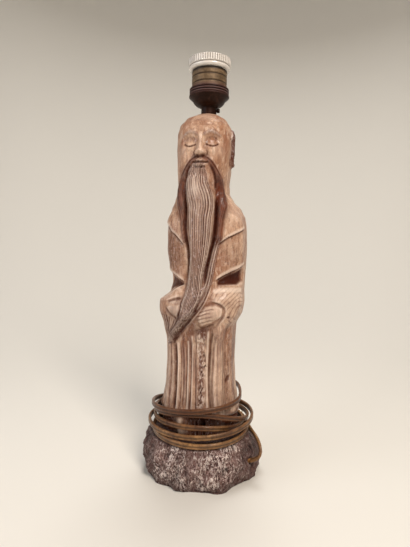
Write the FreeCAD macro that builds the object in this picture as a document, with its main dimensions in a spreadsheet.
"""Figural table lamp: a carved standing figure on a rough base, with a screw-cap lampholder on its head.

Millimetres, +Z up. The figure faces -Y, and the lamp's rod runs up the Z axis. The origin is on the
table, under the rod. Angles round the figure are in degrees from its front, towards +X.
"""
import FreeCAD, Part
import math
import os
import Sketcher
from FreeCAD import Placement, Rotation, Vector

doc = FreeCAD.newDocument("figural_table_lamp")

# ---------------------------------------------------------------- driving dimensions

DIMENSIONS = [
    ("base_width", 130.0), ("base_depth", 114.0), ("base_height", 46.0),
    ("hollow_radius", 21.5), ("hollow_height", 30.0),
    ("figure_top", 383.0),
    ("rod_radius", 5.0), ("rod_bore", 3.9), ("rod_foot", 21.0), ("rod_top", 393.0), ("rod_room", 0.5),
    ("nut_flats", 14.0), ("nut_height", 5.0), ("washer_radius", 13.0), ("washer_thick", 1.6),
    ("washer_play", 0.2), ("thread_play", 0.02),
    ("head_washer_radius", 6.6), ("head_washer_thick", 0.9),
    ("neck_radius", 8.0), ("neck_height", 6.6), ("dome_foot_radius", 10.0), ("dome_foot", 391.8),
    ("knee_radius", 16.9), ("knee_height", 397.6),
    ("shoulder_radius", 20.9), ("shoulder_foot", 401.2), ("cap_radius", 20.5), ("cap_top", 409.2),
    ("cap_wall", 2.0), ("dome_bulge", 10.0), ("dome_bulge_inside", 11.5),
    ("rib_pitch", 2.4), ("rib_depth", 0.7), ("seat_height", 400.5),
    ("shell_radius", 18.1), ("shell_bore", 15.9), ("shell_foot", 402.7), ("shell_step", 427.0),
    ("shell_top", 435.0), ("thread_radius", 17.0), ("bead_depth", 0.6),
    ("low_bead", 413.9), ("high_bead", 420.6), ("running_gap", 0.05),
    ("ring_radius", 21.9), ("ring_foot", 427.4), ("ring_top", 438.4), ("ring_mouth", 14.6),
    ("ring_groove", 430.8), ("flute_radius", 0.55), ("flute_count", 56),
    ("core_radius", 15.4), ("flange_radius", 17.6), ("flange_thick", 1.8), ("core_top", 412.0),
    ("socket_radius", 13.3), ("sleeve_wall", 0.8), ("sleeve_top", 434.0),
    ("contact_radius", 3.6), ("contact_top", 411.0), ("contact_thick", 0.9), ("contact_pin", 1.5),
    ("contact_pocket", 5.2),
    ("block_length", 5.0), ("block_width", 6.0), ("block_height", 4.2), ("block_reach", 8.0),
    ("terminal_radius", 1.4), ("terminal_head", 2.1), ("terminal_head_height", 1.4),
    ("neck_screw_radius", 1.5), ("neck_screw_head", 2.1), ("neck_screw_height", 388.4),
    ("neck_screw_tip", 11.4),
    ("cord_radius", 2.1), ("wire_radius", 0.9), ("side_hole_radius", 4.6), ("bush_wall", 1.5),
    ("bush_length", 12.0),
    ("relief_length", 24.0), ("relief_radius", 4.6), ("relief_tip", 3.1),
    ("plug_length", 35.0), ("plug_width", 26.0), ("plug_thick", 13.7), ("plug_tail_width", 15.0),
    ("plug_tail_thick", 11.0), ("pin_radius", 2.0), ("pin_length", 19.0), ("pin_spacing", 18.6),
]


class Size:
    """A number together with the sheet expression that it comes from."""

    def __init__(self, value, text):
        self.value = value
        self.text = text

    def join(self, other, sign, turned=False):
        other = other if isinstance(other, Size) else Size(float(other), repr(float(other)))
        first, second = (other, self) if turned else (self, other)
        values = {
            "+": first.value + second.value,
            "-": first.value - second.value,
            "*": first.value * second.value,
        }
        return Size(values[sign], f"({first.text} {sign} {second.text})")

    def __add__(self, other):
        return self.join(other, "+")

    def __radd__(self, other):
        return self.join(other, "+", True)

    def __sub__(self, other):
        return self.join(other, "-")

    def __rsub__(self, other):
        return self.join(other, "-", True)

    def __mul__(self, other):
        return self.join(other, "*")

    def __rmul__(self, other):
        return self.join(other, "*", True)


sheet = doc.addObject("Spreadsheet::Sheet", "Dimensions")
size = {}
for row, (alias, number) in enumerate(DIMENSIONS, start=1):
    sheet.set(f"A{row}", alias)
    sheet.set(f"B{row}", str(number))
    sheet.setAlias(f"B{row}", alias)
    size[alias] = Size(float(number), f"Dimensions.{alias}")
doc.recompute()


def of(*aliases):
    """The named sizes, in the order asked for."""
    return [size[alias] for alias in aliases]


# ---------------------------------------------------------------- building helpers


def bind(item, **properties):
    """Tie an object's properties to sheet expressions."""
    for name, value in properties.items():
        item.setExpression(name, value.text if isinstance(value, Size) else str(value))
    return item


def place(item, x=0.0, y=0.0, z=0.0):
    """Put an object at x, y, z; a Size stays tied to the sheet."""
    spot = {"x": x, "y": y, "z": z}
    numbers = [v.value if isinstance(v, Size) else v for v in spot.values()]
    item.Placement = Placement(Vector(*numbers), Rotation())
    for letter, value in spot.items():
        if isinstance(value, Size):
            item.setExpression(f".Placement.Base.{letter}", value.text)
    return item


def rounded_edge(start, end, radius):
    """An arc of a circle from start to end: bulging to the right of the way for a positive radius."""
    chord = end.sub(start)
    half = chord.Length / 2
    lift = math.sqrt(max(radius * radius - half * half, 0.0))
    left = Vector(-chord.y, chord.x, 0).normalize()
    centre = start.add(chord.multiply(0.5)).add(left.multiply(lift if radius > 0 else -lift))
    first, last = (start, end) if radius > 0 else (end, start)
    angles = [math.atan2(p.y - centre.y, p.x - centre.x) for p in (first, last)]
    if angles[1] < angles[0]:
        angles[1] += 2 * math.pi
    circle = Part.Circle(centre, Vector(0, 0, 1), abs(radius))
    return Part.ArcOfCircle(circle, *angles)


def turned(name, outline):
    """A body turned on a lathe about Z: the outline's corners are (radius, height[, arc radius])."""
    body = doc.addObject("PartDesign::Body", name)
    upright = next(f for f in body.Origin.OriginFeatures if f.Role == "XZ_Plane")
    sketch = body.newObject("Sketcher::SketchObject", name + "_outline")
    sketch.AttachmentSupport = [(upright, "")]
    sketch.MapMode = "FlatFace"
    corners = [Vector(corner[0].value, corner[1].value, 0) for corner in outline]
    count = len(corners)
    ends = []
    for index, corner in enumerate(outline):
        start, end = corners[index], corners[(index + 1) % count]
        if len(corner) == 3:
            edge = sketch.addGeometry(rounded_edge(start, end, corner[2].value))
            ends.append((edge, 1, 2) if corner[2].value > 0 else (edge, 2, 1))
        else:
            edge = sketch.addGeometry(Part.LineSegment(start, end))
            ends.append((edge, 1, 2))
    for index, (edge, _, finish) in enumerate(ends):
        following = ends[(index + 1) % count]
        sketch.addConstraint(Sketcher.Constraint("Coincident", edge, finish, following[0], following[1]))
    for corner, (edge, begin, _) in zip(outline, ends):
        radius, height = corner[:2]
        if radius.value == 0:
            sketch.addConstraint(Sketcher.Constraint("PointOnObject", edge, begin, -2))
        else:
            across = sketch.addConstraint(
                Sketcher.Constraint("DistanceX", -1, 1, edge, begin, radius.value))
            sketch.setExpression(f"Constraints[{across}]", radius.text)
        if height.value == 0:
            sketch.addConstraint(Sketcher.Constraint("PointOnObject", edge, begin, -1))
        else:
            up = sketch.addConstraint(Sketcher.Constraint("DistanceY", -1, 1, edge, begin, height.value))
            sketch.setExpression(f"Constraints[{up}]", height.text)
        if len(corner) == 3:
            bulge = sketch.addConstraint(Sketcher.Constraint("Radius", edge, abs(corner[2].value)))
            sketch.setExpression(f"Constraints[{bulge}]", f"abs({corner[2].text})")
    turning = body.newObject("PartDesign::Revolution", name + "_turned")
    turning.Profile = sketch
    turning.ReferenceAxis = (sketch, ["V_Axis"])
    turning.Angle = 360
    return body


def cylinder(name, radius, height, **spot):
    item = bind(doc.addObject("Part::Cylinder", name), Radius=radius, Height=height)
    return place(item, **spot)


def cut(name, base, *tools):
    """The base with every tool taken away."""
    if len(tools) > 1:
        tool = doc.addObject("Part::MultiFuse", name + "_tools")
        tool.Shapes = list(tools)
    else:
        tool = tools[0]
    result = doc.addObject("Part::Cut", name)
    result.Base = base
    result.Tool = tool
    return result


def group(name, *items):
    """Separate solids of one kind, kept together."""
    result = doc.addObject("Part::Compound", name)
    result.Links = list(items)
    return result


def feature(name, shape):
    item = doc.addObject("Part::Feature", name)
    item.Shape = shape
    return item


ZERO = Size(0.0, "0")

# ---------------------------------------------------------------- carved forms


def soft_step(value):
    """From 0 to 1 with level ends."""
    value = min(max(value, 0.0), 1.0)
    return value * value * (3 - 2 * value)


def net_solid(radius_at, heights, columns, closer=0.0, spread=(1.0, 1.0), shift=(0.0, 0.0)):
    """A closed solid round Z: a smooth surface over a net of radii, with flat ends.

    The columns may stand closer together at the front, and the net may be spread in X and Y and then
    shifted.
    """
    poles = []
    for column in range(columns):
        turn = 2 * math.pi * column / columns
        angle = turn - closer * math.sin(turn)
        ring = []
        for height in heights:
            radius = radius_at(math.degrees(angle), height)
            across = spread[0] * radius * math.sin(angle) + shift[0]
            ring.append(Vector(across, shift[1] - spread[1] * radius * math.cos(angle), height))
        poles.append(ring)
    rows = len(heights)
    skin = Part.BSplineSurface()
    skin.buildFromPolesMultsKnots(
        poles, [1] * (columns + 1), [4] + [1] * (rows - 4) + [4],
        [float(k) for k in range(columns + 1)], [float(k) for k in range(rows - 2)],
        True, False, 3, 3)
    side = skin.toShape()
    ends = []
    for level in (heights[0], heights[-1]):
        rim = [e for e in side.Edges if all(abs(v.Point.z - level) < 1e-6 for v in e.Vertexes)
               and abs(e.BoundBox.ZMax - level) < 1e-3 and abs(e.BoundBox.ZMin - level) < 1e-3]
        ends.append(Part.Face(Part.Wire(rim)))
    shell = Part.makeShell([side] + ends)
    shell.sewShape()
    solid = Part.makeSolid(shell)
    if solid.Volume < 0:
        solid.reverse()
    return solid


def sides_at(levels, height):
    """The four half-axes and the squareness of a level, eased between the listed ones."""
    if height >= levels[0][0]:
        return levels[0][1:]
    for upper, lower in zip(levels, levels[1:]):
        if height >= lower[0]:
            share = (upper[0] - height) / (upper[0] - lower[0])
            share = (share + soft_step(share)) / 2
            return tuple(a + (b - a) * share for a, b in zip(upper[1:], lower[1:]))
    return levels[-1][1:]


def level_radius(levels, angle, height):
    """Distance from the axis to a rounded, four-sided outline."""
    left, right, front, back, squareness = sides_at(levels, height)
    across, along = math.sin(math.radians(angle)), math.cos(math.radians(angle))
    half_width = right if across >= 0 else left
    half_depth = front if along >= 0 else back
    total = (abs(across) / half_width) ** squareness + (abs(along) / half_depth) ** squareness
    return total ** (-1 / squareness)


def form_height(flatness, points, angle, height, per_degree):
    """Relief of one carved form: its points are (angle, height, half width, relief)."""
    strongest = 0.0
    for (a1, h1, w1, r1), (a2, h2, w2, r2) in zip(points, points[1:]):
        run = Vector((a2 - a1) * per_degree, h2 - h1, 0)
        turn = (angle - a1 + 180) % 360 - 180
        spot = Vector(turn * per_degree, height - h1, 0)
        share = min(max(spot.dot(run) / max(run.dot(run), 1e-9), 0.0), 1.0)
        away = spot.sub(Vector(run.x * share, run.y * share, 0)).Length / (w1 + (w2 - w1) * share)
        if away < 1:
            relief = (r1 + (r2 - r1) * share) * (1 - away ** flatness) ** 2
            if abs(relief) > abs(strongest):
                strongest = relief
    return strongest


# height, then how far the body reaches to the left, right, front and back, and its squareness
FIGURE_LEVELS = [
    (383.0, 8.5, 8.5, 8.5, 8.5, 2.0), (381.5, 14, 12.5, 15, 13, 2.0), (377, 23.5, 19, 24, 20, 2.1),
    (369, 29.5, 23.8, 32, 25, 2.1), (361, 31, 25.6, 35, 27.5, 2.2), (344, 31.3, 25.8, 35.5, 28, 2.3),
    (327, 30.8, 24.6, 35, 26, 2.3), (311, 30, 23, 35, 24.5, 2.2), (302, 30.5, 23.5, 35, 25, 2.2),
    (294, 33.3, 28.5, 35, 27, 2.2), (285.5, 37, 36.8, 34, 29.5, 2.3), (277, 39.5, 40, 33.5, 31, 2.4),
    (260, 39.7, 41.8, 34, 32.5, 2.5), (243, 39, 42.2, 34, 33, 2.5), (225, 36.3, 42, 33.5, 33, 2.5),
    (208, 34.8, 41.3, 34, 32.5, 2.5), (199, 36.5, 40.7, 37, 32, 2.5), (190, 46.3, 40.9, 41, 32, 2.4),
    (178, 48.4, 40.3, 42, 32, 2.4), (164, 44.2, 34, 39, 31.5, 2.4), (146, 41.2, 33.3, 34, 31, 2.3),
    (128, 40.5, 32.8, 33, 31, 2.3), (101, 41.8, 34.5, 33, 31.5, 2.3), (82, 44.5, 37.2, 33.5, 32.5, 2.3),
    (74, 46.5, 38, 34, 33, 2.2), (68, 46, 38, 28, 33, 2.2), (46, 45.5, 38, 25, 33, 2.2),
]

# each form's flatness across (2 is round, more is a step) and its (angle, height, half width, relief)
FORMS = {
    "right brow": (2, [(-37, 352.5, 3.4, 0.8), (-29, 356.5, 3.6, 1.4), (-20, 358.5, 3.6, 1.6),
                       (-11, 357.8, 3.4, 1.3), (-4, 355.5, 3.0, 0.9)]),
    "left brow": (2, [(37, 352.5, 3.4, 0.8), (29, 356.5, 3.6, 1.4), (20, 358.5, 3.6, 1.6),
                      (11, 357.8, 3.4, 1.3), (4, 355.5, 3.0, 0.9)]),
    "right eye hollow": (2, [(-25, 350, 6.5, -2.2), (-12, 350, 5.5, -2.4)]),
    "left eye hollow": (2, [(25, 350, 6.5, -2.2), (12, 350, 5.5, -2.4)]),
    "nose": (2, [(0, 356, 3.4, 1.0), (0, 350, 3.8, 2.4), (0, 344, 4.4, 4.6), (0, 340.5, 5.0, 6.2),
                 (0, 338.8, 4.8, 5.8)]),
    "nose wings": (2, [(-7, 339.2, 2.8, 2.8), (7, 339.2, 2.8, 2.8)]),
    "right cheek": (2, [(-31, 344, 9, 1.0), (-29, 334, 11, 1.8)]),
    "left cheek": (2, [(31, 344, 9, 1.0), (29, 334, 11, 1.8)]),
    "mouth": (2, [(-11, 330, 8, 1.3), (11, 330, 8, 1.3)]),
    "right ear": (2, [(-94, 359, 5, 1.6), (-97, 346, 5.5, 2.4), (-94, 332, 5, 1.6)]),
    "left ear": (3, [(86, 358, 6.5, 3.0), (89, 346, 7.5, 4.0), (86, 333, 5.5, 3.0)]),
    "right lock": (3, [(-5, 334.5, 2.4, 1.6), (-15, 330, 3.2, 2.4), (-25, 322, 4.2, 2.6),
                       (-37, 312, 6.0, 2.8), (-42, 302, 8.2, 3.0), (-36, 292, 6.8, 2.8),
                       (-30, 280, 4.8, 2.4), (-28, 267, 3.8, 2.0), (-24, 252, 3.2, 1.2)]),
    "left lock": (3, [(5, 334.5, 2.4, 1.6), (15, 330, 3.2, 2.6), (27, 320, 4.2, 3.0), (39, 310, 5.6, 3.4),
                      (42, 301, 7.4, 3.6), (38, 290, 6.4, 3.4), (33, 278, 4.8, 3.0), (31, 266, 4.4, 2.6),
                      (29, 254, 4.0, 2.2)]),
    "beard": (5, [(-3, 325, 9, 0.8), (-4, 318, 13, 3.2), (-5, 308, 15.2, 5.2), (0, 296, 16.2, 6.4),
                  (2, 287, 15.2, 7.0), (0.5, 276, 14.4, 7.2), (1, 257, 12.9, 7.0), (0, 238, 10.8, 6.8),
                  (-4, 219, 9.6, 6.6), (-6, 203, 10.0, 6.2), (-9, 190, 9.4, 6.0), (-13, 180, 7.8, 5.6),
                  (-20, 171, 6.4, 4.8), (-33, 160, 5.4, 4.0), (-46, 152, 4.8, 3.0), (-55, 146, 3.8, 1.6)]),
    "beard tail": (3, [(30, 256, 3.8, 1.8), (25, 241, 3.6, 1.8), (21, 227, 4.0, 2.0), (17, 214, 4.2, 2.6),
                       (10, 202, 4.4, 3.2), (2, 190, 4.0, 3.4), (-10, 178, 3.6, 3.4), (-28, 165, 3.2, 2.8),
                       (-44, 154, 2.6, 2.0)]),
    "groove right of the beard": (2, [(-27, 303, 2.2, -1.2), (-25, 287, 2.4, -2.2), (-25.5, 267, 2.4, -2.4),
                                      (-21, 248, 2.4, -2.4), (-18, 232, 2.4, -2.0), (-19, 216, 2.2, -1.2)]),
    "groove left of the beard": (2, [(27, 294, 2.6, -2.0), (27, 279, 3.0, -3.4), (25.5, 266, 3.0, -3.8),
                                     (23, 252, 3.0, -3.8), (17, 238, 3.0, -3.8), (11.5, 224, 3.0, -3.4),
                                     (9, 212, 2.6, -2.0)]),
    "right upper arm": (2, [(-60, 272, 13, 1.5), (-58, 244, 14, 2.2), (-54, 222, 10, 1.2)]),
    "left upper arm": (2, [(58, 272, 14, 2.4), (60, 244, 15, 2.8), (58, 226, 10, 1.5)]),
    "hollow over right sleeve": (4, [(-64, 213, 8, -2.6), (-44, 210, 5.5, -3.2), (-30, 208, 3, -2.4)]),
    "hollow over left sleeve": (4, [(37, 213, 4.5, -3.6), (54, 217, 8, -4.6), (74, 218, 9, -4.6)]),
    "right sleeve": (2, [(-60, 187, 12, 2.6), (-44, 195, 8, 2.4), (-30, 201, 6, 1.6)]),
    "left sleeve": (2, [(62, 190, 14, 3.0), (44, 196, 12, 4.4), (30, 196, 8, 3.4)]),
    "left sleeve end": (2, [(50, 180, 12, 1.5), (44, 168, 9, 1.0)]),
    "right hand": (4, [(-38, 185, 4, 2.0), (-26, 182, 6.5, 2.2)]),
    "left hand": (4, [(9, 178, 8, 2.6), (26, 183, 8.5, 2.8)]),
    "hollow under the hands": (2, [(24, 166, 6, -2.0), (-6, 160, 6, -2.0)]),
    "broad fold": (2, [(36, 164, 6.0, 1.8), (36, 120, 7.5, 3.0), (37, 74, 8.5, 3.2)]),
    "side fold": (2, [(62, 160, 6, 1.0), (66, 110, 7, 1.6), (68, 76, 8, 1.8)]),
    "groove by the side fold": (2, [(49, 164, 4.0, -1.4), (52, 110, 4.5, -1.8), (54, 76, 5.0, -1.8)]),
    "groove by the broad fold": (2, [(23, 163, 3.0, -2.2), (21.5, 126, 3.0, -2.6), (25, 74, 3.0, -2.6)]),
    "right groove": (2, [(-43, 145, 3.0, -2.4), (-41.5, 115, 3.0, -2.6), (-42, 76, 3.0, -2.6)]),
    "right fold": (2, [(-53, 142, 5.0, 1.6), (-54, 110, 6.0, 2.2), (-56, 76, 6.5, 2.4)]),
    "back fold 1": (2, [(140, 262, 7, 0.6), (138, 180, 8, 2.2), (136, 76, 9, 2.8)]),
    "back fold 2": (2, [(182, 262, 7, 0.6), (181, 180, 8, 2.2), (180, 76, 9, 2.8)]),
    "back fold 3": (2, [(222, 262, 7, 0.6), (224, 180, 8, 2.2), (226, 76, 9, 2.8)]),
    "nape": (2, [(180, 322, 14, -1.6), (180, 304, 14, -2.0)]),
    "right foot": (2, [(-34, 60, 10, 5.0), (-32, 50, 11, 7.0)]),
    "left foot": (2, [(46, 60, 8, 4.0), (46, 50, 9, 6.0)]),
    "gap between the feet": (2, [(14, 66, 6, -4.0), (14, 48, 6, -5.0)]),
}
PER_DEGREE = math.radians(36)  # millimetres of surface to a degree, for the widths of the forms


def figure_radius(angle, height):
    radius = level_radius(FIGURE_LEVELS, angle, height)
    return radius + sum(form_height(*form, angle, height, PER_DEGREE) for form in FORMS.values())


FIGURE_COLUMNS = 80
FIGURE_ROWS = 84
FRONT_CLOSER = 0.32  # how much closer together the columns stand at the front than on average
CROWN_ROWS = (1.5, 0.5, 0.0, 0.0)  # closer rows at the crown, by how far they lie below it


def figure_heights():
    """Rows of the figure's net, evenly spaced up to the crown."""
    foot, crown = size["base_height"].value, size["figure_top"].value
    step = (crown - 2 * CROWN_ROWS[0] - foot) / FIGURE_ROWS
    return [foot + step * row for row in range(FIGURE_ROWS + 1)] + [crown - drop for drop in CROWN_ROWS]


# ---------------------------------------------------------------- rough base

BASE_COLUMNS = 72
VIEW_TURN = 12.0  # the base and its cord are laid out as seen from 12 degrees to the figure's left

# direction seen from above (0 towards the cord's side, 90 to the back) and the block's reach there
BASE_OUTLINE = [
    (0, 64.5), (22, 62.5), (45, 60.0), (68, 57.0), (90, 56.5), (112, 58.0), (135, 60.5), (158, 63.5),
    (180, 65.0), (195, 61.5), (213, 59.5), (233, 56.0), (252, 53.5), (270, 53.0), (288, 55.5),
    (299, 57.0), (311, 55.5), (321, 56.5), (331, 58.5), (345, 62.5), (360, 64.5),
]
# height as a share of the block's, and the reach there as a share of the outline's
BASE_PROFILE = [(0.0, 0.95), (0.12, 0.98), (0.3, 1.0), (0.6, 1.0), (0.8, 0.97), (0.92, 0.93), (1.0, 0.86)]


def between(table, key):
    """A value between the listed ones, eased."""
    for (k1, v1), (k2, v2) in zip(table, table[1:]):
        if key <= k2:
            return v1 + (v2 - v1) * soft_step((key - k1) / (k2 - k1))
    return table[-1][1]


def base_radius(angle, height):
    """Reach of the block at an angle from the figure's front."""
    seen = (angle - 90 - VIEW_TURN) % 360
    share = height / size["base_height"].value
    reach = between(BASE_OUTLINE, seen) * between(BASE_PROFILE, share)
    worn = 7.0 * soft_step((share - 0.45) / 0.45) * max(math.cos(math.radians(seen - 10)), 0.0) ** 2
    lump = 0.9 * math.sin(math.radians(seen) * 9 + height * 0.11) + 0.7 * math.sin(
        math.radians(seen) * 15 - height * 0.19 + 1.0)
    return reach - worn + lump * (1 - soft_step((share - 0.8) / 0.2) * 0.5)


def base_blank():
    """The block, spread and shifted so that it has its width and depth, with the rod in the middle."""
    tall = size["base_height"].value
    shares = (0, 0.06, 0.16, 0.28, 0.4, 0.52, 0.64, 0.74, 0.83, 0.9, 0.96, 1, 1)
    heights = [tall * share for share in shares]
    box = net_solid(base_radius, heights, BASE_COLUMNS).optimalBoundingBox()
    spread = (size["base_width"].value / box.XLength, size["base_depth"].value / box.YLength)
    shift = (-box.Center.x * spread[0], -box.Center.y * spread[1])
    return net_solid(base_radius, heights, BASE_COLUMNS, 0.0, spread, shift)


# ---------------------------------------------------------------- cord


def seen_point(across, depth, height):
    """A point laid out in the three-quarter view, in the lamp's frame: depth goes to the back."""
    turn = math.radians(VIEW_TURN)
    return Vector(across * math.cos(turn) - depth * math.sin(turn),
                  across * math.sin(turn) + depth * math.cos(turn), height)


HOLE_OUTER = (50.6, -30.2, 23.0)  # where the side hole's axis meets the block's face
HOLE_INNER = (22.0, -13.1, 8.0)   # where it meets the hollow

# the cord's lead: out of the hole, up the block's side and back along its shoulder
LEAD = [
    HOLE_OUTER, (58.6, -34.9, 27.2), (61.2, -31.8, 36.4), (58.0, -21.8, 43.6), (53.4, -10.8, 46.2),
    (52.8, 0.0, 45.9),
]

# the winding: (reach, height) at each quarter, from the cord's side to the back, left, front and on
WINDING = [
    (52.8, 45.9), (47.5, 48.4), (54.8, 49.3), (52.0, 48.4),
    (49.0, 50.9), (45.0, 54.2), (60.0, 56.4), (48.0, 55.6),
    (54.4, 62.0), (51.8, 61.0), (54.0, 62.0), (43.5, 63.8),
    (44.0, 54.8), (43.0, 61.0), (53.2, 68.6), (41.8, 77.0),
    (49.5, 59.0), (59.0, 55.4), (56.4, 73.8), (46.0, 82.6),
    (41.2, 86.6),
]

# the tail: round the robe's back, over the winding, down behind the block and along the table
TAIL = [
    (41.2, 0.0, 86.6), (41.2, 15.0, 87.5), (34.0, 33.0, 87.0), (18.0, 48.0, 82.0), (-1.0, 60.0, 73.0),
    (-19.0, 66.5, 62.0), (-35.0, 71.0, 49.0), (-48.0, 77.0, 35.0), (-57.0, 86.0, 22.0),
    (-60.0, 98.0, 12.0), (-56.0, 110.0, 6.0), (-47.0, 118.5, 3.6), (-34.5, 122.0, 4.4),
    (-21.5, 121.5, 6.95),
]


def quarter(index):
    """Point and direction of the winding at a quarter turn."""
    reach, height = WINDING[index]
    angle = math.radians(90 * index)
    before, after = max(index - 1, 0), min(index + 1, len(WINDING) - 1)
    travel = sum((WINDING[k][0] + WINDING[k + 1][0]) * math.pi / 4 for k in range(before, after))
    climb = (WINDING[after][1] - WINDING[before][1]) / travel
    point = seen_point(reach * math.cos(angle), reach * math.sin(angle), height)
    heading = seen_point(-math.sin(angle), math.cos(angle), climb).normalize()
    return point, heading


def arc_from(start, heading, end):
    """The arc that leaves start along heading and reaches end, with its heading there and its radius."""
    chord = end.sub(start)
    along = Vector(chord).normalize()
    cosine = min(max(heading.dot(along), -1.0), 1.0)
    half = math.acos(cosine)
    final = Vector(along).multiply(2 * cosine).sub(heading)
    if half < 1e-5:
        return Part.LineSegment(start, end).toShape(), final, math.inf
    bend = chord.Length / 2 / math.sin(half)
    side = Vector(along).sub(Vector(heading).multiply(cosine)).normalize()
    centre = start.add(Vector(side).multiply(bend))
    middle = centre.add(Vector(side).multiply(-bend * math.cos(half)))
    middle = middle.add(Vector(heading).multiply(bend * math.sin(half)))
    return Part.Arc(start, middle, end).toShape(), final, bend


def winding_edges():
    """Straight ends of one cord diameter, and two arcs for each quarter turn between them."""
    stub = 2 * size["cord_radius"].value
    point, heading = quarter(0)
    edges = [Part.LineSegment(point, point.add(Vector(heading).multiply(stub))).toShape()]
    point = edges[0].Vertexes[-1].Point
    bends = []
    last = len(WINDING) - 1
    for index in range(1, last + 1):
        target, goal = quarter(index)
        if index == last:
            target = target.sub(Vector(goal).multiply(stub))
        gap = target.sub(point)
        spread = 2 * (1 - heading.dot(goal))
        reach = gap.dot(heading.add(goal))
        share = (-reach + math.sqrt(reach * reach + spread * gap.dot(gap))) / spread
        middle = point.add(target).add(heading.sub(goal).multiply(share)).multiply(0.5)
        first, turned_heading, bend = arc_from(point, heading, middle)
        bends.append(bend)
        second, _, bend = arc_from(middle, turned_heading, target)
        bends.append(bend)
        edges += [first, second]
        point, heading = target, goal
    edges.append(Part.LineSegment(point, quarter(last)[0]).toShape())
    print(f"cord_winding: {len(bends)} arcs, radii {min(bends):.1f} to {max(bends):.1f} mm")
    return edges


def least_gap(edges, diameter):
    """Print the cord's least gap to itself, measured between points a millimetre apart."""
    points = []
    for edge in edges:
        points += edge.discretize(max(int(edge.Length), 2))[:-1]
    skip = 40  # points along the cord, past which another turn may lie beside this one
    gap = min(points[i].distanceToPoint(points[j])
              for i in range(0, len(points), 2) for j in range(i + skip, len(points), 2)) - diameter
    print(f"cord_winding: least gap to itself {gap:.2f} mm")


def route_edges(name, points):
    """Straight runs joined by tangent arcs, each as large as its two runs allow."""
    corners = [seen_point(*p) for p in points]
    edges, radii, start = [], [], corners[0]
    for before, corner, after in zip(corners, corners[1:], corners[2:]):
        arriving, leaving = corner.sub(before), after.sub(corner)
        half = arriving.getAngle(leaving) / 2
        setback = 0.45 * min(arriving.Length, leaving.Length)
        radii.append(setback / math.tan(half))
        arriving.normalize()
        leaving.normalize()
        first = corner.sub(Vector(arriving).multiply(setback))
        last = corner.add(Vector(leaving).multiply(setback))
        inward = Vector(leaving).sub(arriving).normalize()
        depth = radii[-1] * (1 / math.cos(half) - 1)
        middle = corner.add(inward.multiply(depth))
        edges.append(Part.LineSegment(start, first).toShape())
        edges.append(Part.Arc(first, middle, last).toShape())
        start = last
    edges.append(Part.LineSegment(start, corners[-1]).toShape())
    print(f"{name}: arc radii " + ", ".join(f"{r:.0f}" for r in radii) + " mm")
    return edges


def tube(name, edges, radius):
    """A round tube along edges; its volume is compared with its section times its length."""
    path = Part.Wire(edges)
    start = edges[0]
    heading = start.tangentAt(start.FirstParameter)
    ring = Part.Wire([Part.Circle(start.Vertexes[0].Point, heading, radius).toShape()])
    solid = path.makePipeShell([ring], True, False)
    share = solid.Volume / (math.pi * radius * radius * path.Length)
    print(f"{name}: length {path.Length:.1f} mm, volume {share:.4f} of section times length")
    return feature(name, solid)


# ---------------------------------------------------------------- the pieces


def make_figure():
    rod_radius, rod_room, top, foot = of("rod_radius", "rod_room", "figure_top", "base_height")
    blank = feature("figure_blank", net_solid(
        figure_radius, figure_heights(), FIGURE_COLUMNS, FRONT_CLOSER))
    bore = cylinder("figure_bore", rod_radius + rod_room, top - foot + 10, z=foot - 5)
    return cut("carved_figure", blank, bore)


def side_hole_tool(name, radius, length, back):
    """A cylinder on the side hole's axis, ending `back` short of the block's face."""
    outer, inner = seen_point(*HOLE_OUTER), seen_point(*HOLE_INNER)
    heading = outer.sub(inner).normalize()
    item = bind(doc.addObject("Part::Cylinder", name), Radius=radius, Height=length)
    start = outer.sub(Vector(heading).multiply(length.value + back))
    item.Placement = Placement(start, Rotation(Vector(0, 0, 1), heading))
    return item


def make_base():
    height, hollow_radius, hollow_height = of("base_height", "hollow_radius", "hollow_height")
    rod_radius, rod_room, hole = of("rod_radius", "rod_room", "side_hole_radius")
    blank = feature("base_blank", base_blank())
    bore = cylinder("base_bore", rod_radius + rod_room, height + 10, z=-5.0)
    hollow = cylinder("base_hollow", hollow_radius, hollow_height + 5, z=-5.0)
    side_hole = side_hole_tool("base_side_hole", hole, Size(60.0, "60"), -12.0)
    return cut("rough_base", blank, bore, hollow, side_hole)


def make_rod():
    radius, bore, foot, top = of("rod_radius", "rod_bore", "rod_foot", "rod_top")
    return turned("lamp_rod", [(bore, foot), (radius, foot), (radius, top), (bore, top)])


def make_washers():
    rod, play, hollow = of("rod_radius", "washer_play", "hollow_height")
    wide, thick, small, thin, head = of(
        "washer_radius", "washer_thick", "head_washer_radius", "head_washer_thick", "figure_top")
    bore = rod + play
    low = turned("rod_washer", [
        (bore, hollow - thick), (wide, hollow - thick), (wide, hollow), (bore, hollow)])
    high = turned("head_washer", [(bore, head), (small, head), (small, head + thin), (bore, head + thin)])
    return low, high


def make_nut():
    flats, tall, rod, hollow, thick, play = of(
        "nut_flats", "nut_height", "rod_radius", "hollow_height", "washer_thick", "thread_play")
    foot = hollow - thick - tall
    prism = bind(doc.addObject("Part::Prism", "nut_blank"), Height=tall,
                 Circumradius=flats * (1 / math.sqrt(3)))
    prism.Polygon = 6
    place(prism, z=foot)
    bore = cylinder("nut_bore", rod + play, tall + 2, z=foot - 1)
    return cut("rod_nut", prism, bore)


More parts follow.
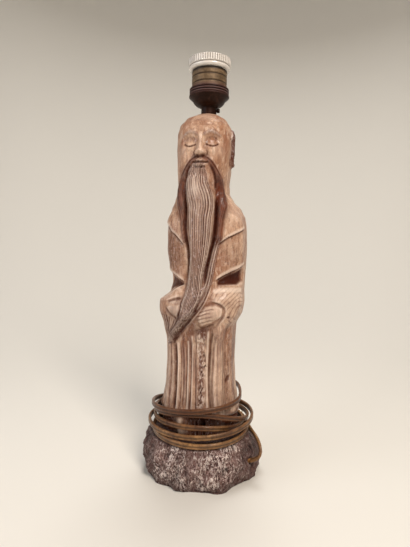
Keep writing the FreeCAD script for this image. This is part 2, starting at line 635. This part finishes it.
def make_cap():
    rod, neck, neck_height, dome_radius, dome_foot = of(
        "rod_radius", "neck_radius", "neck_height", "dome_foot_radius", "dome_foot")
    head, washer, shoulder, shoulder_foot, rim, top = of(
        "figure_top", "head_washer_thick", "shoulder_radius", "shoulder_foot", "cap_radius", "cap_top")
    knee, knee_height, bulge, bulge_inside = of(
        "knee_radius", "knee_height", "dome_bulge", "dome_bulge_inside")
    wall, pitch, depth, seat, shell, gap, play = of(
        "cap_wall", "rib_pitch", "rib_depth", "seat_height", "shell_radius", "running_gap",
        "thread_play")
    foot, bore = head + washer, rod + play
    outline = [
        (bore, foot), (neck, foot), (neck, foot + neck_height), (dome_radius, dome_foot, bulge),
        (knee, knee_height), (shoulder, shoulder_foot), (shoulder, shoulder_foot + 0.9),
        (rim - depth, shoulder_foot + 1.4),
    ]
    for rib in range(2):
        low = shoulder_foot + 1.8 + pitch * rib
        outline += [(rim, low), (rim, low + pitch - 1.0), (rim - depth, low + pitch - 0.6),
                    (rim - depth, low + pitch - 0.2)]
    outline += [
        (rim, top - 0.9), (rim - 0.3, top), (shell + gap, top), (shell + gap, seat),
        (shell - wall, seat, -1 * bulge_inside), (dome_radius - wall, dome_foot + wall),
        (bore, dome_foot + wall),
    ]
    lathe_work = turned("cap_turned", outline)
    screw, height = of("neck_screw_radius", "neck_screw_height")
    hole = bind(doc.addObject("Part::Cylinder", "neck_screw_hole"), Radius=screw + gap, Height=neck + 2)
    place_neck_screw(hole, height)
    return cut("holder_cap", lathe_work, hole)


def place_neck_screw(item, height):
    """Lay an upright piece along the neck screw's axis, on the cord's side."""
    side = seen_point(1, 0, 0)
    item.Placement = Placement(Vector(0, 0, height.value), Rotation(Vector(0, 0, 1), side))
    item.setExpression(".Placement.Base.z", height.text)


def make_neck_screw():
    radius, head, tip, rod, neck, height = of(
        "neck_screw_radius", "neck_screw_head", "neck_screw_tip", "rod_radius", "neck_radius",
        "neck_screw_height")
    lathe_work = turned("neck_screw_turned", [
        (ZERO, rod + 0.3), (radius - 0.4, rod + 0.3), (radius, rod + 0.7), (radius, neck + 0.4),
        (head, neck + 0.4), (head, tip - 0.4), (head - 0.4, tip), (ZERO, tip)])
    slot = bind(doc.addObject("Part::Box", "neck_screw_slot"), Length=head * 3, Width=Size(0.6, "0.6"),
                Height=Size(2.0, "2"))
    place(slot, x=-1.5 * head, y=-0.3, z=tip - 0.9)
    screw = cut("neck_screw", lathe_work, slot)
    place_neck_screw(screw, height)
    return screw


def make_shell():
    radius, bore, foot, step, top, thread, depth, low, high = of(
        "shell_radius", "shell_bore", "shell_foot", "shell_step", "shell_top", "thread_radius",
        "bead_depth", "low_bead", "high_bead")
    outline = [(bore, foot), (radius, foot)]
    for bead in (low, high):
        outline += [(radius, bead - 0.7), (radius - depth, bead - 0.3), (radius - depth, bead + 0.3),
                    (radius, bead + 0.7)]
    outline += [(radius, step - 0.3), (radius - 0.3, step), (thread, step), (thread, top), (bore, top)]
    return turned("holder_shell", outline)


def make_ring():
    radius, foot, top, mouth, thread, gap, groove, shell_top = of(
        "ring_radius", "ring_foot", "ring_top", "ring_mouth", "thread_radius", "running_gap",
        "ring_groove", "shell_top")
    flute, count = of("flute_radius", "flute_count")
    body = turned("porcelain_ring", [
        (thread + gap, foot), (radius - 2.2, foot, Size(2.4, "2.4")), (radius - 0.7, foot + 2.2),
        (radius - 0.9, groove - 0.2), (radius - 1.3, groove + 0.2), (radius - 0.4, groove + 0.7),
        (radius, groove + 1.3), (radius, top - 0.9), (radius - 0.9, top), (mouth + 0.9, top),
        (mouth, top - 0.9), (mouth, shell_top + 0.4), (thread + gap, shell_top + 0.4)])
    level = next(f for f in body.Origin.OriginFeatures if f.Role == "XY_Plane")
    sketch = body.newObject("Sketcher::SketchObject", "flute_outline")
    sketch.AttachmentSupport = [(level, "")]
    sketch.MapMode = "FlatFace"
    sketch.AttachmentOffset = Placement(Vector(0, 0, (groove + 0.9).value), Rotation())
    sketch.setExpression(".AttachmentOffset.Base.z", (groove + 0.9).text)
    away = radius + 0.15
    circle = sketch.addGeometry(Part.Circle(Vector(away.value, 0, 0), Vector(0, 0, 1), flute.value))
    sketch.addConstraint(Sketcher.Constraint("PointOnObject", circle, 3, -1))
    across = sketch.addConstraint(Sketcher.Constraint("DistanceX", -1, 1, circle, 3, away.value))
    sketch.setExpression(f"Constraints[{across}]", away.text)
    width = sketch.addConstraint(Sketcher.Constraint("Radius", circle, flute.value))
    sketch.setExpression(f"Constraints[{width}]", flute.text)
    pocket = body.newObject("PartDesign::Pocket", "flute")
    pocket.Profile = sketch
    pocket.Reversed = True
    pocket.Length = 10
    bind(pocket, Length=top - groove)
    doc.recompute()
    plain = pocket.BaseFeature.Shape.Volume
    if pocket.Shape.Volume >= plain:
        raise RuntimeError("the flute cuts nothing")
    flutes = body.newObject("PartDesign::PolarPattern", "flutes")
    flutes.Originals = [pocket]
    flutes.Axis = (sketch, ["N_Axis"])
    flutes.Angle = 360
    bind(flutes, Occurrences=count)
    body.Tip = flutes
    return body


def make_core():
    radius, flange, thick, top, seat, pocket, pin, gap = of(
        "core_radius", "flange_radius", "flange_thick", "core_top", "seat_height", "contact_pocket",
        "contact_pin", "running_gap")
    return turned("socket_core", [
        (pin + gap, seat), (flange, seat), (flange, seat + thick), (radius, seat + thick),
        (radius, top - 0.8), (radius - 0.8, top), (pocket, top), (pocket, top - 5.0),
        (pin + gap, top - 5.0)])


def make_sleeve():
    bore, wall, top, core = of("socket_radius", "sleeve_wall", "sleeve_top", "core_top")
    return turned("thread_sleeve", [
        (bore - 3.5, core), (bore + wall, core), (bore + wall, top - 0.5), (bore + wall + 0.4, top),
        (bore, top), (bore, core + wall), (bore - 3.5, core + wall)])


def make_contact():
    radius, top, thick, pin, seat = of(
        "contact_radius", "contact_top", "contact_thick", "contact_pin", "seat_height")
    return turned("centre_contact", [
        (ZERO, seat + 0.6), (pin, seat + 0.6), (pin, top - thick - 0.5), (radius, top - thick - 0.5),
        (radius, top - 0.6), (radius - 1.6, top), (ZERO, top)])


def make_terminals():
    long, wide, tall, reach, seat = of(
        "block_length", "block_width", "block_height", "block_reach", "seat_height")
    shank, head, head_height = of("terminal_radius", "terminal_head", "terminal_head_height")
    foot = seat - tall
    blocks, screws = [], []
    for number, side in enumerate((-1, 1), start=1):
        block = bind(doc.addObject("Part::Box", f"block_{number}"), Length=long, Width=wide, Height=tall)
        place(block, x=side * reach - 0.5 * long, y=-0.5 * wide, z=foot)
        bore = cylinder(f"block_bore_{number}", shank, tall, x=side * reach, y=0.0, z=foot)
        blocks.append(cut(f"terminal_block_{number}", block, bore))
        screw = doc.addObject("Part::Fuse", f"terminal_screw_{number}")
        screw.Base = cylinder(f"shank_{number}", shank, tall - 0.5, x=side * reach, y=0.0, z=foot)
        screw.Tool = cylinder(f"head_{number}", head, head_height, x=side * reach, y=0.0,
                              z=foot - head_height)
        screws.append(screw)
    return group("terminal_blocks", *blocks), group("terminal_screws", *screws)


def make_wires():
    """The flex inside the lamp and its two cores, from the side hole's bush up to the terminals."""
    flex_top = size["rod_top"].value - 0.5
    bottom = size["seat_height"].value - size["block_height"].value
    inner = size["block_reach"].value - size["block_length"].value / 2
    outer, hollow = Vector(*HOLE_OUTER), Vector(*HOLE_INNER)
    slope = outer.sub(hollow).normalize()
    low = outer.sub(Vector(slope).multiply(outer.x / slope.x))  # the hole's axis under the rod
    flex = tube("inner_flex", inner_flex_edges(flex_top, low, outer), size["cord_radius"].value)
    wires = []
    for name, side in (("live_wire", 1), ("neutral_wire", -1)):
        turn = math.radians(-VIEW_TURN)
        points = []
        for across, height in ((1.05, flex_top), (1.05, flex_top + 2.2), (inner, bottom + 2.0)):
            x = side * across
            points.append((x * math.cos(turn), x * math.sin(turn), height))
        wires.append(tube(name, route_edges(name, points), size["wire_radius"].value))
    return [flex] + wires


def inner_flex_edges(top, low, outer):
    """Straight down the rod, one bend in the hollow, and straight up the side hole."""
    bend = 13.0
    down, out = Vector(0, 0, -1), outer.sub(low).normalize()
    half = down.getAngle(out) / 2
    setback = bend * math.tan(half)
    first = low.sub(Vector(down).multiply(setback))
    last = low.add(Vector(out).multiply(setback))
    inward = Vector(out).sub(down).normalize()
    middle = low.add(inward.multiply(bend * (1 / math.cos(half) - 1)))
    start, first, middle, last, end = (
        seen_point(*p) for p in (Vector(0, 0, top), first, middle, last, outer))
    return [Part.LineSegment(start, first).toShape(), Part.Arc(first, middle, last).toShape(),
            Part.LineSegment(last, end).toShape()]


def make_bush():
    hole, wall, length = of("side_hole_radius", "bush_wall", "bush_length")
    outside = side_hole_tool("bush_outside", hole - 0.02, length, 3.0)
    inside = side_hole_tool("bush_inside", hole - wall, length + 2.0, 2.0)
    return cut("cord_bush", outside, inside)


def make_cord():
    radius = size["cord_radius"].value
    lead = tube("cord_lead", route_edges("cord_lead", LEAD), radius)
    edges = winding_edges()
    least_gap(edges, 2 * radius)
    winding = tube("cord_winding", edges, radius)
    tail = tube("cord_tail", route_edges("cord_tail", TAIL), radius)
    return lead, winding, tail


def make_plug():
    """Relief, body and pins in a line that starts at the tail's end and runs level."""
    end, before = seen_point(*TAIL[-1]), seen_point(*TAIL[-2])
    heading = math.degrees(math.atan2(end.y - before.y, end.x - before.x))
    relief_length, relief, tip = of("relief_length", "relief_radius", "relief_tip")
    long, wide, thick, tail_wide, tail_thick = of(
        "plug_length", "plug_width", "plug_thick", "plug_tail_width", "plug_tail_thick")
    pin, pin_length, spacing = of("pin_radius", "pin_length", "pin_spacing")

    def lay(item, ahead, aside=0.0):
        """Turn a piece made upright to point along the cord."""
        turn = Rotation(Vector(0, 0, 1), heading).multiply(Rotation(Vector(0, 1, 0), 90))
        offset = Rotation(Vector(0, 0, 1), heading).multVec(Vector(ahead, aside, 0))
        item.Placement = Placement(end.add(offset), turn)
        return item

    outline = [(ZERO, ZERO), (tip, ZERO)]
    rib = relief_length.value / 5
    for number in range(4):
        low = Size(rib * (number + 0.55), f"(Dimensions.relief_length * {0.2 * (number + 0.55)})")
        wide_here = tip + (relief - tip) * (0.2 * (number + 1))
        outline += [(wide_here, low), (wide_here - 0.6, low + 0.5), (wide_here - 0.6, low + 1.5),
                    (wide_here, low + 2.0)]
    outline += [(relief, relief_length), (ZERO, relief_length)]
    strain_relief = turned("plug_relief", outline)
    lay(strain_relief, 0.0)
    wedge = doc.addObject("Part::Wedge", "plug_blank")
    bind(wedge, Xmin=-0.5 * tail_thick, Xmax=0.5 * tail_thick, Ymin=ZERO, Ymax=long,
         Zmin=-0.5 * tail_wide, Zmax=0.5 * tail_wide, X2min=-0.5 * thick, X2max=0.5 * thick,
         Z2min=-0.5 * wide, Z2max=0.5 * wide)
    doc.recompute()
    rounded = doc.addObject("Part::Fillet", "plug_body")
    rounded.Base = wedge
    rounded.Edges = [(number, 2.6, 2.6) for number in range(1, len(wedge.Shape.Edges) + 1)]
    level = Rotation(Vector(0, 0, 1), heading).multiply(Rotation(Vector(0, 0, 1), -90)).multiply(
        Rotation(Vector(0, 1, 0), 90))
    offset = Rotation(Vector(0, 0, 1), heading).multVec(Vector(relief_length.value, 0, 0))
    rounded.Placement = Placement(end.add(offset), level)
    pins = []
    for number, side in enumerate((-0.5, 0.5), start=1):
        shank = cylinder(f"pin_shank_{number}", pin, pin_length - pin)
        point = bind(doc.addObject("Part::Sphere", f"pin_point_{number}"), Radius=pin)
        place(point, z=pin_length - pin)
        one = doc.addObject("Part::Fuse", f"pin_{number}")
        one.Base, one.Tool = shank, point
        pins.append(lay(one, relief_length.value + long.value, side * spacing.value))
    return strain_relief, rounded, group("plug_pins", *pins)


figure = make_figure()
base = make_base()
rod = make_rod()
rod_washer, head_washer = make_washers()
nodes = [figure, base, rod, rod_washer, head_washer, make_nut(), make_cap(), make_neck_screw(),
         make_shell(), make_ring(), make_core(), make_sleeve(), make_contact(), *make_terminals(),
         *make_wires(), make_bush(), *make_cord(), *make_plug()]
doc.recompute()

# ---------------------------------------------------------------- tests and files

faults = [f"{item.Label}: {item.State}" for item in doc.Objects
          if "Invalid" in item.State or "Error" in item.State]
faults += [f"{node.Label}: shape not valid" for node in nodes
           if node.Shape.isNull() or not node.Shape.isValid() or not node.Shape.Solids]
if faults:
    raise RuntimeError("; ".join(faults))

os.makedirs("parts", exist_ok=True)
for node in nodes:
    node.Shape.exportStep(f"parts/{node.Label}.step")
    box = node.Shape.optimalBoundingBox()
    print(f"{node.Label}: {len(node.Shape.Solids)} solid, {box.XLength:.1f} x {box.YLength:.1f} x "
          f"{box.ZLength:.1f} mm, from Z {box.ZMin:.2f}")
